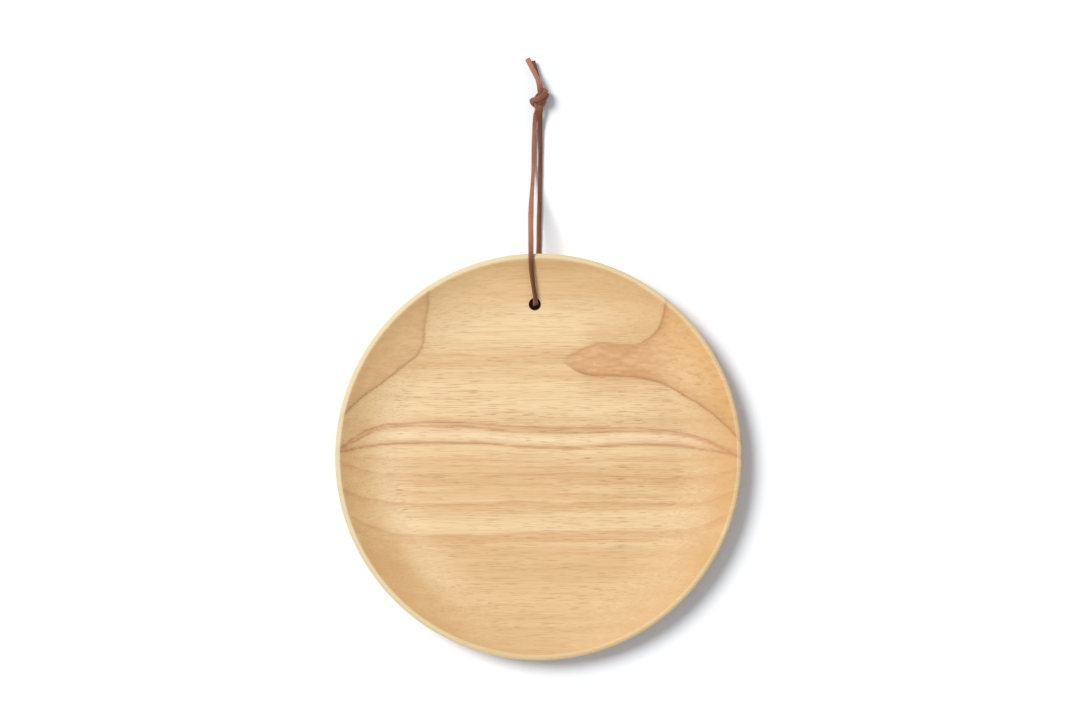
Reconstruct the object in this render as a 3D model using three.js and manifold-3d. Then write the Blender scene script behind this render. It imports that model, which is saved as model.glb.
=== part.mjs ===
// A round breakfast board: a shallow wooden dish turned from one piece, with a flat leather lace
// doubled through a hole near its rim and tied in an overhand knot as a hanging loop.
// Millimetres, +Z up. The origin is on the table, under the middle of the board.

import * as THREE from "three";
import { mergeVertices } from "three/addons/utils/BufferGeometryUtils.js";
import Module from "manifold-3d";

// Board
const BOARD_DIAMETER = 220;
const BOARD_HEIGHT = 18;
const FLOOR_THICKNESS = 8;
const FLOOR_RADIUS = 74; // flat floor inside, where the hollow begins to rise
const FOOT_RADIUS = 64; // flat foot underneath, where the underside begins to rise
const RIM_LAND = 2.4; // flat top of the rim
const RIM_EDGE = 2.6; // height of the upright outer edge, with its round
const RIM_ROUND = 1.1; // outer corner of the rim
const TURNING_STEPS = 72; // facets round the board
const ARC_STEPS = 6; // half the facets along each arc of the profile

// Hole for the lace
const HOLE_DIAMETER = 6;
const HOLE_RADIUS_POSITION = 82.7; // from the middle of the board, towards +Y
const HOLE_EASE = 0.6; // depth and width of the eased mouths
const HOLE_STEPS = 24;

// Leather lace
const LACE_WIDTH = 2.5;
const LACE_THICKNESS = 1.2;
const LACE_CORNER = 0.35; // flat across each cut corner of the section
const STRAND_GAP = 0.55; // between the two strands where they lie face to face
const STEPS_PER_POINT = 2; // facets along the lace between two of its points

// The doubled lace through the knot: middle line of the two strands, from the loop to the cut tails,
// measured from the middle of the knot (x to the right, y towards the tails, z up)
const KNOT_MIDDLE = [5.4, 194.6, 5.9];
const KNOT_LINE = [
  [-0.7, -5.8, 0.5],
  [-1.0, -3.7, 0.7],
  [-1.1, -1.6, -0.3],
  [-1.2, 0.2, -2.4],
  [-0.1, 1.8, -3.7],
  [2.1, 3.2, -3.9],
  [4.1, 4.0, -2.8],
  [5.3, 4.1, -0.5],
  [5.1, 3.5, 1.9],
  [3.5, 2.4, 3.9],
  [0.9, 1.4, 4.3],
  [-1.4, 0.5, 3.3],
  [-3.8, -0.4, 2.5],
  [-5.2, -1.7, 0.7],
  [-5.2, -3.2, -1.3],
  [-3.7, -4.4, -3.0],
  [-1.3, -4.6, -3.9],
  [1.1, -3.8, -3.4],
  [2.5, -2.0, -2.2],
  [2.6, 0.3, -0.6],
  [1.5, 2.6, 0.2],
  [0.9, 5.1, 0.5],
  [0.1, 7.8, 0.4],
  [-1.0, 11.0, -0.2],
  [-2.8, 15.5, -1.7],
  [-5.5, 22.4, -3.8],
];
const KNOT_STATIONS = 44; // evenly spaced points taken along that line
const LOOP_SIDE = [-1, 0, 0]; // where the front strand lies of the back one, at the loop's end
const TAIL_SIDE = [-0.3, 0, 0.95]; // and at the tails: on top, a little to the left

// The single lace from the knot over the rim, down through the hole and back under the board.
// Each row holds a point and the way that the lace's flat face looks there.
const FRONT_RUN = [
  { at: [2.9, 185.4, 4.6], face: [-0.95, 0, 0.3] },
  { at: [2.7, 179.0, 2.4], face: [-0.7, 0, 0.7] },
  { at: [2.1, 171.0, 1.0], face: [-0.2, 0, 1] },
  { at: [1.3, 160.0, 1.7], face: [0, 0, 1] },
  { at: [0.5, 149.0, 6.0], face: [0, 0, 1] },
  { at: [-0.5, 138.0, 13.0], face: [0, 0, 1] },
  { at: [-1.0, 128.0, 18.4], face: [0, 0, 1] },
  { at: [-1.2, 118.0, 20.4], face: [0, 0, 1] },
  { at: [-1.3, 109.0, 19.1], face: [0, 0, 1] },
  { at: [-1.3, 101.0, 16.4], face: [0, 0, 1] },
  { at: [-0.4, 92.5, 13.4], face: [0, 0, 1] },
  { at: [0.2, 87.0, 11.6], face: [0, 0, 1] },
  { at: [0.35, 84.2, 10.4], face: [0, -0.6, 0.8] },
  { at: [0.35, 82.9, 8.2], face: [0, -1, 0] },
  { at: [0.3, 82.6, 5.6], face: [0, -1, 0] },
];
const BACK_RUN = [
  { at: [0.3, 82.8, 3.2], face: [0, -1, 0] },
  { at: [0.35, 83.9, 1.6], face: [0, -0.7, -0.7] },
  { at: [0.5, 86.3, 0.9], face: [0, 0, -1] },
  { at: [1.2, 93.0, 0.85], face: [0, 0, -1] },
  { at: [2.4, 103.0, 0.85], face: [0, 0, -1] },
  { at: [3.4, 114.0, 0.85], face: [0, 0, -1] },
  { at: [4.0, 127.0, 0.85], face: [0, 0, -1] },
  { at: [4.4, 140.0, 0.85], face: [0, 0, -1] },
  { at: [5.0, 155.0, 0.85], face: [0, 0, -1] },
  { at: [5.8, 168.0, 0.95], face: [-0.2, 0, -1] },
  { at: [6.5, 179.0, 2.4], face: [-0.7, 0, -0.7] },
  { at: [6.9, 185.4, 4.6], face: [-0.95, 0, -0.3] },
];

const BOARD_RADIUS = BOARD_DIAMETER / 2;
const LAND_INNER_RADIUS = BOARD_RADIUS - RIM_LAND;
const EDGE_BOTTOM = BOARD_HEIGHT - RIM_EDGE;

const wasm = await Module();
wasm.setup();

// An arc that leaves the level line at `startRadius` and rises to a point further out
function risingArc(startRadius, startHeight, endRadius, endHeight) {
  const out = endRadius - startRadius;
  const up = endHeight - startHeight;
  const radius = (out * out + up * up) / (2 * up);
  return { startRadius, startHeight, radius, sweep: Math.asin(out / radius) };
}

function heightOnArc(arc, radiusFromAxis) {
  const out = Math.max(radiusFromAxis - arc.startRadius, 0);
  return arc.startHeight + arc.radius - Math.sqrt(arc.radius * arc.radius - out * out);
}

const hollow = risingArc(FLOOR_RADIUS, FLOOR_THICKNESS, LAND_INNER_RADIUS, BOARD_HEIGHT);
const underside = risingArc(FOOT_RADIUS, 0, BOARD_RADIUS, EDGE_BOTTOM);

// Half section of the board, from the middle of the foot round the rim to the middle of the floor
function boardProfile() {
  const down = -Math.PI / 2;
  const path = new THREE.Path();
  path.moveTo(0, 0);
  path.lineTo(FOOT_RADIUS, 0);
  path.absarc(FOOT_RADIUS, underside.radius, underside.radius, down, down + underside.sweep, false);
  path.absarc(BOARD_RADIUS - RIM_ROUND, BOARD_HEIGHT - RIM_ROUND, RIM_ROUND, 0, Math.PI / 2, false);
  path.lineTo(LAND_INNER_RADIUS, BOARD_HEIGHT);
  const centreHeight = FLOOR_THICKNESS + hollow.radius;
  path.absarc(FLOOR_RADIUS, centreHeight, hollow.radius, down + hollow.sweep, down, true);
  path.lineTo(0, FLOOR_THICKNESS);
  return path.getPoints(ARC_STEPS);
}

// Outline of what the drill and the easing cutter take away, round the hole's own axis
function drillProfile() {
  const bore = HOLE_DIAMETER / 2;
  const lowMouth = heightOnArc(underside, HOLE_RADIUS_POSITION);
  const highMouth = heightOnArc(hollow, HOLE_RADIUS_POSITION);
  const reach = HOLE_DIAMETER; // past both faces
  const flared = bore + HOLE_EASE + reach;
  return [
    [0, lowMouth - reach],
    [flared, lowMouth - reach],
    [bore, lowMouth + HOLE_EASE],
    [bore, highMouth - HOLE_EASE],
    [flared, highMouth + reach],
    [0, highMouth + reach],
  ].map(([radius, height]) => new THREE.Vector2(radius, height));
}

// LatheGeometry turns round Y; the board's axis is Z
function turned(profile, steps) {
  return new THREE.LatheGeometry(profile, steps).rotateX(Math.PI / 2);
}

function toSolid(geometry) {
  const bare = geometry.clone();
  bare.deleteAttribute("normal");
  bare.deleteAttribute("uv");
  const welded = mergeVertices(bare, 1e-4);
  const vertProperties = new Float32Array(welded.attributes.position.array);
  const triVerts = new Uint32Array(welded.index.array);
  return new wasm.Manifold(new wasm.Mesh({ numProp: 3, vertProperties, triVerts }));
}

function toGeometry(solid) {
  const mesh = solid.getMesh();
  const geometry = new THREE.BufferGeometry();
  geometry.setAttribute("position", new THREE.BufferAttribute(mesh.vertProperties, 3));
  geometry.setIndex(new THREE.BufferAttribute(mesh.triVerts, 1));
  geometry.computeVertexNormals();
  return geometry;
}

function makeBoard() {
  const drill = turned(drillProfile(), HOLE_STEPS).translate(0, HOLE_RADIUS_POSITION, 0);
  const blank = turned(boardProfile(), TURNING_STEPS);
  return toGeometry(toSolid(blank).subtract(toSolid(drill)));
}

const vector = (values) => new THREE.Vector3(...values);

// The part of `wish` that is square to `tangent`
function squareTo(wish, tangent) {
  return wish.clone().addScaledVector(tangent, -wish.dot(tangent)).normalize();
}

// Two strands side by side along the knot's line. The side that the front strand lies on is carried
// along without twist, and the twist that brings it to the tails' side is spread over the length.
function knotStrands() {
  const middle = vector(KNOT_MIDDLE);
  const line = new THREE.CatmullRomCurve3(KNOT_LINE.map((row) => vector(row).add(middle)));
  const points = line.getSpacedPoints(KNOT_STATIONS);
  const tangents = points.map((_, i) => line.getTangentAt(i / KNOT_STATIONS));
  const sides = [squareTo(vector(LOOP_SIDE), tangents[0])];
  for (let i = 1; i < points.length; i += 1) {
    const turn = new THREE.Quaternion().setFromUnitVectors(tangents[i - 1], tangents[i]);
    sides.push(sides[i - 1].clone().applyQuaternion(turn));
  }
  const lastTangent = tangents[KNOT_STATIONS];
  const lastSide = sides[KNOT_STATIONS];
  const wanted = squareTo(vector(TAIL_SIDE), lastTangent);
  const across = new THREE.Vector3().crossVectors(lastTangent, lastSide);
  const twist = Math.atan2(wanted.dot(across), wanted.dot(lastSide));
  const reach = (LACE_THICKNESS + STRAND_GAP) / 2;
  const front = [];
  const back = [];
  points.forEach((point, i) => {
    const face = sides[i].clone().applyAxisAngle(tangents[i], (twist * i) / KNOT_STATIONS);
    front.push({ at: point.clone().addScaledVector(face, reach), face });
    back.push({ at: point.clone().addScaledVector(face, -reach), face });
  });
  return { front, back };
}

// A smooth line through the lace's points that also knows which way the flat face looks
class LaceLine extends THREE.CatmullRomCurve3 {
  constructor(stations) {
    super(stations.map((station) => station.at));
    this.faces = stations.map((station) => station.face);
  }

  getSpacedPoints(divisions) {
    return this.getPoints(divisions);
  }

  computeFrenetFrames(segments) {
    const frames = { tangents: [], normals: [], binormals: [] };
    const last = this.faces.length - 1;
    for (let i = 0; i <= segments; i += 1) {
      const place = (i / segments) * last;
      const before = Math.min(Math.floor(place), last - 1);
      const face = this.faces[before].clone().lerp(this.faces[before + 1], place - before);
      const tangent = this.getTangent(i / segments);
      const normal = squareTo(face, tangent);
      frames.tangents.push(tangent);
      frames.normals.push(normal);
      frames.binormals.push(new THREE.Vector3().crossVectors(tangent, normal));
    }
    return frames;
  }
}

// Section of the lace: a flat strip with its four corners cut, thickness along x and width along y
function laceSection() {
  const x = LACE_THICKNESS / 2;
  const y = LACE_WIDTH / 2;
  const cut = LACE_CORNER;
  return new THREE.Shape([
    new THREE.Vector2(x, y - cut),
    new THREE.Vector2(x - cut, y),
    new THREE.Vector2(cut - x, y),
    new THREE.Vector2(-x, y - cut),
    new THREE.Vector2(-x, cut - y),
    new THREE.Vector2(cut - x, -y),
    new THREE.Vector2(x - cut, -y),
    new THREE.Vector2(x, cut - y),
  ]);
}

function laceStations() {
  const knot = knotStrands();
  const placed = (row) => ({ at: vector(row.at), face: vector(row.face).normalize() });
  const front = [...knot.front].reverse();
  return [...front, ...FRONT_RUN.map(placed), ...BACK_RUN.map(placed), ...knot.back];
}

// Least gap between two stretches of the lace that are not neighbours along it: each ring's outline
// points against the flat strip at every ring that lies further off than `apart` along the lace
function leastGap(line, steps, apart) {
  const points = line.getPoints(steps);
  const { tangents, normals, binormals } = line.computeFrenetFrames(steps);
  const along = [0];
  for (let i = 1; i < points.length; i += 1) {
    along.push(along[i - 1] + points[i].distanceTo(points[i - 1]));
  }
  const outline = laceSection().getSpacedPoints(24);
  let least = Infinity;
  const offset = new THREE.Vector3();
  for (let i = 0; i < points.length; i += 1) {
    for (const spot of outline) {
      const tip = points[i].clone().addScaledVector(normals[i], spot.x).addScaledVector(binormals[i], spot.y);
      for (let j = 0; j < points.length; j += 1) {
        if (Math.abs(along[i] - along[j]) < apart) continue;
        offset.subVectors(tip, points[j]);
        const halfStep = 0.5 * Math.abs(along[Math.min(j + 1, steps)] - along[Math.max(j - 1, 0)]) * 0.5;
        const x = Math.max(Math.abs(offset.dot(normals[j])) - LACE_THICKNESS / 2, 0);
        const y = Math.max(Math.abs(offset.dot(binormals[j])) - LACE_WIDTH / 2, 0);
        const z = Math.max(Math.abs(offset.dot(tangents[j])) - halfStep, 0);
        least = Math.min(least, Math.hypot(x, y, z));
      }
    }
  }
  return { least, length: along[steps] };
}

function makeLace() {
  const stations = laceStations();
  const line = new LaceLine(stations);
  const steps = (stations.length - 1) * STEPS_PER_POINT;
  const { least, length } = leastGap(line, steps, 3 * LACE_WIDTH);
  console.log(`lace: ${length.toFixed(0)} mm long, least gap to itself ${least.toFixed(2)} mm`);
  return new THREE.ExtrudeGeometry(laceSection(), { steps, extrudePath: line, bevelEnabled: false });
}

const wood = new THREE.MeshStandardMaterial({ color: 0xe6c494, roughness: 0.6, metalness: 0 });
const leather = new THREE.MeshStandardMaterial({ color: 0x8f5c42, roughness: 0.7, metalness: 0 });

function named(name, geometry, material) {
  const mesh = new THREE.Mesh(geometry, material);
  mesh.name = name;
  return mesh;
}

const breakfastBoard = new THREE.Group();
breakfastBoard.add(named("board", makeBoard(), wood));
breakfastBoard.add(named("leather_lace", makeLace(), leather));

export default breakfastBoard;
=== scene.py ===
# %% [markdown]
# A round breakfast board with a leather lace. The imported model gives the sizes: a turned wooden dish and
# a lace that is doubled through a hole and knotted. Everything here is in metres, in that model's own
# frame, so the visible pieces go straight where the solids are. Blender adds what solids lack: wood
# grain, soft edges, leather and light.

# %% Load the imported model
import math

import bpy
import numpy as np
from mathutils import Matrix, Vector


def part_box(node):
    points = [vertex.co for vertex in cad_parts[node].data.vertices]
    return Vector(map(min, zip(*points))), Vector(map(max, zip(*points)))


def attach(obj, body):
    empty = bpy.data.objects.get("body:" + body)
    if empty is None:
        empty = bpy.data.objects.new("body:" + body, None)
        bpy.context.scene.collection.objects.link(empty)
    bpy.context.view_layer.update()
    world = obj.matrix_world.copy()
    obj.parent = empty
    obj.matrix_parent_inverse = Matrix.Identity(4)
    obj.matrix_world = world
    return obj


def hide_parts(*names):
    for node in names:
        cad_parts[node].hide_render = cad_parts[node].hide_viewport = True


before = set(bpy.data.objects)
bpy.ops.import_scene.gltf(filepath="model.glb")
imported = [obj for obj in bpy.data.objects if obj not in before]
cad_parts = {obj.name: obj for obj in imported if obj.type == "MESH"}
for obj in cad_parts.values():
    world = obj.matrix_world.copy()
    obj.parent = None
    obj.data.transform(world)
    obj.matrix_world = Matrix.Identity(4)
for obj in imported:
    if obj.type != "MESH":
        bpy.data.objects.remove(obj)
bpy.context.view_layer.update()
MM = 0.001

# %% [markdown]
# The photograph looks straight down on the board, a long way off, so the circle stays a circle. The hole
# lies on the model's +Y axis, and in the picture it sits a hair left of the top, so the camera is rolled
# by about a degree and a half. A long lens from a metre and a half keeps the perspective as weak as it is
# there.

# %% Camera
PICTURE_WIDTH = 1077  # pixels
PIXELS_PER_METRE = 1829.2  # on the table
CAMERA_HEIGHT = 1.5
PICTURE_TURN = math.radians(1.455)  # the picture's upright against the model's +Y
PICTURE_MIDDLE = (0.00125, 0.0530)  # the point of the table under the middle of the picture
SENSOR_WIDTH = 36  # millimetres of film

camera_data = bpy.data.cameras.new("picture_camera")
camera_data.sensor_fit = "HORIZONTAL"
camera_data.sensor_width = SENSOR_WIDTH
camera_data.lens = SENSOR_WIDTH * PIXELS_PER_METRE * CAMERA_HEIGHT / PICTURE_WIDTH
camera_data.clip_start = 0.01
camera = bpy.data.objects.new("picture_camera", camera_data)
camera.location = (*PICTURE_MIDDLE, CAMERA_HEIGHT)
camera.rotation_euler = (0, 0, -PICTURE_TURN)
bpy.context.collection.objects.link(camera)
bpy.context.scene.camera = camera
print("lens in mm:", round(camera_data.lens, 1))

# %% [markdown]
# The lace is a flat strip of leather. Its route is a short list of points, close to the solid's: from the
# hole over the rim to the knot, and from the hole under the board to the knot. With each point goes the
# way that the flat face looks, because a flat strip, unlike a round cord, shows every twist. Through the
# knot the two strands share one line; how they fan out from it, and how flat they lie, is listed along
# the way.

# %% The lace's route, in millimetres
KNOT_MIDDLE = Vector((5.4, 194.6, 5.9))
KNOT_LINE = [
    (-0.7, -5.8, 0.5), (-1.0, -3.7, 0.7), (-1.1, -1.6, -0.3), (-1.2, 0.2, -2.4), (-0.1, 1.8, -3.7),
    (2.1, 3.2, -3.9), (4.1, 4.0, -2.8), (5.3, 4.1, -0.5), (5.2, 2.9, 1.9), (3.6, 0.9, 3.8),
    (1.1, -0.6, 4.3), (-1.4, -1.2, 3.6), (-3.3, -1.2, 2.5), (-4.4, -1.3, 0.7), (-4.4, -2.0, -1.3),
    (-3.3, -3.0, -3.0), (-1.3, -3.6, -3.9), (1.1, -3.2, -3.4), (2.5, -1.8, -2.2), (2.6, 0.3, -0.6),
    (1.5, 2.6, 0.2), (0.9, 5.1, 0.5), (0.4, 7.8, 0.4), (-0.8, 11.0, -0.2), (-2.3, 15.5, -1.7),
    (-4.8, 22.6, -3.6),
]
LOOP_SIDE = Vector((-1, 0, 0))
TAIL_SIDE = Vector((-0.3, 0, 0.95))
KNOT_PULL = (0.70, 0.95, 0.85)  # share of the solid knot's size that is left when it is drawn tight
TAIL_START = 5  # from here on the tails are less and less drawn in
TAIL_FADE = 10
KNOT_STATIONS = 60
STEPS_PER_POINT = 24
FAN_PLACES = [0, 0.06, 0.14, 0.26, 0.42, 0.56, 0.74, 0.90, 1]  # shares of the way through the knot
FAN_ANGLES = [28, 24, 8, 62, 62, 0, 0, -40, -58]  # degrees: 0 is strand on strand, 90 is side by side
FAN_SPACING = [2.2, 2.0, 1.7, 2.1, 2.1, 1.6, 1.6, 1.9, 2.6]  # from strand to strand
LIE_ANGLES = [-60, -54, -24, 0, 0, 0, 0, 0, 0]  # how far each strand is turned flat on top of that
FRONT_RUN = [
    ((0.30, 82.6, 5.7), (0.3, -1, 0)), ((0.35, 82.9, 8.2), (0.4, -1, 0.2)),
    ((0.35, 84.2, 10.5), (0.7, -0.6, 0.6)), ((0.2, 87.0, 12.0), (0.86, 0, 0.5)),
    ((-0.5, 92.5, 13.8), (0.86, 0, 0.5)), ((-1.3, 101.0, 16.7), (0.7, 0, 0.7)),
    ((-1.4, 109.0, 19.3), (0.35, 0, 0.95)), ((-1.2, 118.0, 20.15), (0.1, 0, 1)),
    ((-1.0, 128.0, 18.4), (0, 0, 1)), ((-0.5, 138.0, 13.0), (0, 0, 1)),
    ((0.45, 149.0, 6.0), (0.1, 0, 1)), ((1.15, 160.0, 1.9), (0.2, 0, 1)),
    ((1.6, 171.0, 1.9), (0.2, 0, 1)), ((2.2, 179.0, 2.9), (0.2, 0, 1)),
    ((3.1, 186.2, 5.2), (0.5, 0, 0.85)),
]
BACK_RUN = [
    ((0.30, 82.6, 5.5), (0, -1, 0)), ((0.3, 82.8, 3.2), (0, -1, 0)), ((0.35, 83.9, 1.6), (0, -0.7, -0.7)),
    ((0.5, 86.3, 0.9), (0, 0, -1)), ((1.2, 93.0, 0.85), (0, 0, -1)), ((2.2, 103.0, 1.0), (-0.2, 0, -1)),
    ((2.9, 114.0, 1.5), (-0.7, 0, -0.7)), ((3.4, 127.0, 1.6), (-0.7, 0, -0.7)),
    ((4.1, 140.0, 1.6), (-0.7, 0, -0.7)), ((4.7, 155.0, 1.5), (-0.5, 0, -0.85)),
    ((5.15, 168.0, 1.6), (-0.5, 0, -0.85)), ((5.2, 179.0, 2.6), (-0.5, 0, -0.85)),
    ((5.5, 186.2, 4.7), (-0.5, 0, -0.85)),
]
print("points:", len(FRONT_RUN), "front,", len(BACK_RUN), "back,", len(KNOT_LINE), "knot")


# %% [markdown]
# A centripetal Catmull-Rom curve passes through every point without overshooting between close ones,
# which is what a row of listed points needs. In the knot, the side that the front strand lies on is
# carried along without twist, and the small twist left over at the tails is spread over the whole length.

# %% Smooth lines through points
def smooth_line(points, per_step):
    """Points along a centripetal Catmull-Rom curve, with the place of each as a fractional index."""
    points = [np.array(p, float) for p in points]
    padded = [2 * points[0] - points[1], *points, 2 * points[-1] - points[-2]]
    line, places = [], []
    for i in range(len(points) - 1):
        p0, p1, p2, p3 = padded[i:i + 4]
        d0, d1, d2 = (np.linalg.norm(b - a) ** 0.5 for a, b in ((p0, p1), (p1, p2), (p2, p3)))
        t1 = ((p1 - p0) / d0 - (p2 - p0) / (d0 + d1) + (p2 - p1) / d1) * d1
        t2 = ((p2 - p1) / d1 - (p3 - p1) / (d1 + d2) + (p3 - p2) / d2) * d1
        for k in range(per_step):
            t = k / per_step
            bend = (2 * p1 - 2 * p2 + t1 + t2) * t**3 + (3 * p2 - 3 * p1 - 2 * t1 - t2) * t**2
            line.append(p1 + t1 * t + bend)
            places.append(i + t)
    line.append(points[-1])
    places.append(len(points) - 1)
    return np.array(line), np.array(places)


def lengths_along(line):
    return np.concatenate([[0], np.cumsum(np.linalg.norm(np.diff(line, axis=0), axis=1))])


def evenly_spaced(line, count):
    along = lengths_along(line)
    wanted = np.linspace(0, along[-1], count)
    return np.column_stack([np.interp(wanted, along, line[:, axis]) for axis in range(3)])


def square_to(wish, tangent):
    return (wish - tangent * wish.dot(tangent)).normalized()


def drawn_tight(point):
    """A knot point after the knot is pulled: leather gives, so it ends up narrower than the solid's."""
    loose = min(max((point[1] - TAIL_START) / TAIL_FADE, 0), 1)
    return KNOT_MIDDLE + Vector(c * (pull + (1 - pull) * loose) for c, pull in zip(point, KNOT_PULL))


def knot_strands(stations):
    """Points and faces of the front and the back strand, from the loop through the knot to the tails."""
    line, _ = smooth_line([drawn_tight(p) for p in KNOT_LINE], STEPS_PER_POINT)
    points = [Vector(p) for p in evenly_spaced(line, stations)]
    last = stations - 1
    tangents = [(points[min(i + 1, last)] - points[max(i - 1, 0)]).normalized() for i in range(stations)]
    sides = [square_to(LOOP_SIDE, tangents[0])]
    for before, after in zip(tangents, tangents[1:]):
        sides.append(square_to(before.rotation_difference(after) @ sides[-1], after))
    wanted = square_to(TAIL_SIDE, tangents[-1])
    across = tangents[-1].cross(sides[-1])
    twist = math.atan2(wanted.dot(across), wanted.dot(sides[-1]))
    front, back = [], []
    for i, (point, tangent, side) in enumerate(zip(points, tangents, sides)):
        share = i / last
        angle = twist * share
        face = side * math.cos(angle) + tangent.cross(side) * math.sin(angle)
        fan = math.radians(np.interp(share, FAN_PLACES, FAN_ANGLES))
        apart = np.interp(share, FAN_PLACES, FAN_SPACING) / 2
        shift = (face * math.cos(fan) + tangent.cross(face) * math.sin(fan)) * apart
        lie = math.radians(np.interp(share, FAN_PLACES, LIE_ANGLES))
        shown = face * math.cos(lie) + tangent.cross(face) * math.sin(lie)
        front.append((point + shift, -shown))
        back.append((point - shift, shown))
    return front, back


front_knot, back_knot = knot_strands(KNOT_STATIONS)
back_knot = back_knot[:-2]  # the back tail is cut a little shorter
lace_rows = {"lace_front": FRONT_RUN + front_knot, "lace_back": BACK_RUN + back_knot}
print("lace rows:", {name: len(rows) for name, rows in lace_rows.items()})

# %% [markdown]
# Sweeping a section along a line is work for Geometry Nodes. The tree takes a row of vertices, makes it a
# curve, turns the curve's normals to the stored face, and sweeps a rectangle with rounded corners along
# it. The named inputs are the lace's real sizes. A girth stored on each vertex makes the strip wider or
# narrower along its length, as on lace that is cut by hand.


# %% Small helpers for node trees
def geometry_tree(name, inputs):
    """An empty Geometry Nodes tree with named inputs, its in and out nodes and the sockets' identifiers."""
    tree = bpy.data.node_groups.new(name, "GeometryNodeTree")
    tree.interface.new_socket("Geometry", in_out="INPUT", socket_type="NodeSocketGeometry")
    tree.interface.new_socket("Geometry", in_out="OUTPUT", socket_type="NodeSocketGeometry")
    made = {}
    for label, kind in inputs.items():
        made[label] = tree.interface.new_socket(label, in_out="INPUT", socket_type=kind).identifier
    return tree, tree.nodes.new("NodeGroupInput"), tree.nodes.new("NodeGroupOutput"), made


def add_node(tree, kind, settings=None, **sockets):
    """One node: its settings first, then values or links for the sockets, by their names."""
    node = tree.nodes.new(kind)
    for key, value in (settings or {}).items():
        setattr(node, key, value)
    for label, value in sockets.items():
        socket = next(s for s in node.inputs if s.enabled and s.name.replace(" ", "_") == label)
        if isinstance(value, bpy.types.NodeSocket):
            tree.links.new(value, socket)
        else:
            socket.default_value = value
    return node


def plain_mesh(name, source, tree, values):
    """Run a tree on a source mesh once and keep only the resulting mesh, as a new object at the origin."""
    carrier = bpy.data.objects.new(name + "_source", source)
    bpy.context.collection.objects.link(carrier)
    modifier = carrier.modifiers.new(name, "NODES")
    modifier.node_group = tree
    for identifier, value in values.items():
        modifier[identifier] = value
    graph = bpy.context.evaluated_depsgraph_get()
    mesh = bpy.data.meshes.new_from_object(carrier.evaluated_get(graph), depsgraph=graph)
    carrier.modifiers.remove(modifier)
    bpy.data.objects.remove(carrier)
    mesh.name = name
    piece = bpy.data.objects.new(name, mesh)
    bpy.context.collection.objects.link(piece)
    return piece


def row_of_vertices(name, points):
    mesh = bpy.data.meshes.new(name)
    mesh.from_pydata([tuple(p) for p in points], [(i, i + 1) for i in range(len(points) - 1)], [])
    return mesh


# %% The sweep that makes a lace
def lace_tree():
    tree, start, end, sockets = geometry_tree("sweep_lace", {
        "Width": "NodeSocketFloat",
        "Thickness": "NodeSocketFloat",
        "Corner": "NodeSocketFloat",
        "Leather": "NodeSocketMaterial",
    })
    curve = add_node(tree, "GeometryNodeMeshToCurve", Mesh=start.outputs["Geometry"])
    face = add_node(tree, "GeometryNodeInputNamedAttribute", {"data_type": "FLOAT_VECTOR"}, Name="face")
    girth = add_node(tree, "GeometryNodeInputNamedAttribute", {"data_type": "FLOAT"}, Name="girth")
    turned = add_node(tree, "GeometryNodeSetCurveNormal", {"mode": "FREE"}, Curve=curve.outputs[0])
    tree.links.new(face.outputs["Attribute"], turned.inputs["Normal"])
    strip = add_node(tree, "GeometryNodeCurvePrimitiveQuadrilateral",
                     Width=start.outputs["Thickness"], Height=start.outputs["Width"])
    eased = add_node(tree, "GeometryNodeFilletCurve", {"mode": "POLY"},
                     Curve=strip.outputs[0], Radius=start.outputs["Corner"], Count=3)
    swept = add_node(tree, "GeometryNodeCurveToMesh", Curve=turned.outputs[0],
                     Profile_Curve=eased.outputs[0], Scale=girth.outputs["Attribute"], Fill_Caps=True)
    real = add_node(tree, "GeometryNodeRealizeInstances", Geometry=swept.outputs[0])
    dressed = add_node(tree, "GeometryNodeSetMaterial", Geometry=real.outputs[0],
                       Material=start.outputs["Leather"])
    tree.links.new(dressed.outputs[0], end.inputs[0])
    return tree, sockets


# %% [markdown]
# Shader maths reads best as plain formulas. The small class below wraps one socket; adding, multiplying
# or comparing two of them adds the Math node that does it. Everything else comes from one method that
# makes a node, sets it up and wires its sockets.


# %% A socket that can be used in formulas
class Field:
    """A value that varies over a surface."""

    def __init__(self, finish, socket):
        self.finish = finish
        self.socket = socket

    def _math(self, operation, *values):
        return self.finish.node("ShaderNodeMath", {"operation": operation}, dict(enumerate(values)))

    def __add__(self, other):
        return self._math("ADD", self, other)

    def __radd__(self, other):
        return self._math("ADD", other, self)

    def __sub__(self, other):
        return self._math("SUBTRACT", self, other)

    def __rsub__(self, other):
        return self._math("SUBTRACT", other, self)

    def __mul__(self, other):
        return self._math("MULTIPLY", self, other)

    def __rmul__(self, other):
        return self._math("MULTIPLY", other, self)

    def __truediv__(self, other):
        return self._math("DIVIDE", self, other)

    def __rtruediv__(self, other):
        return self._math("DIVIDE", other, self)

    def __pow__(self, other):
        return self._math("POWER", self, other)

    def __rpow__(self, other):
        return self._math("POWER", other, self)

    def __abs__(self):
        return self._math("ABSOLUTE", self)

    def at_least(self, other):
        return self._math("MAXIMUM", self, other)

    def at_most(self, other):
        return self._math("MINIMUM", self, other)

    def exp(self):
        return self._math("EXPONENT", self)

    def ramp(self, low, high, to_low=0.0, to_high=1.0):
        """A soft step from to_low, where this is low, to to_high, where it is high."""
        inputs = {"Value": self, "From Min": low, "From Max": high, "To Min": to_low, "To Max": to_high}
        return self.finish.node("ShaderNodeMapRange", {"interpolation_type": "SMOOTHSTEP"}, inputs)


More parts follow.
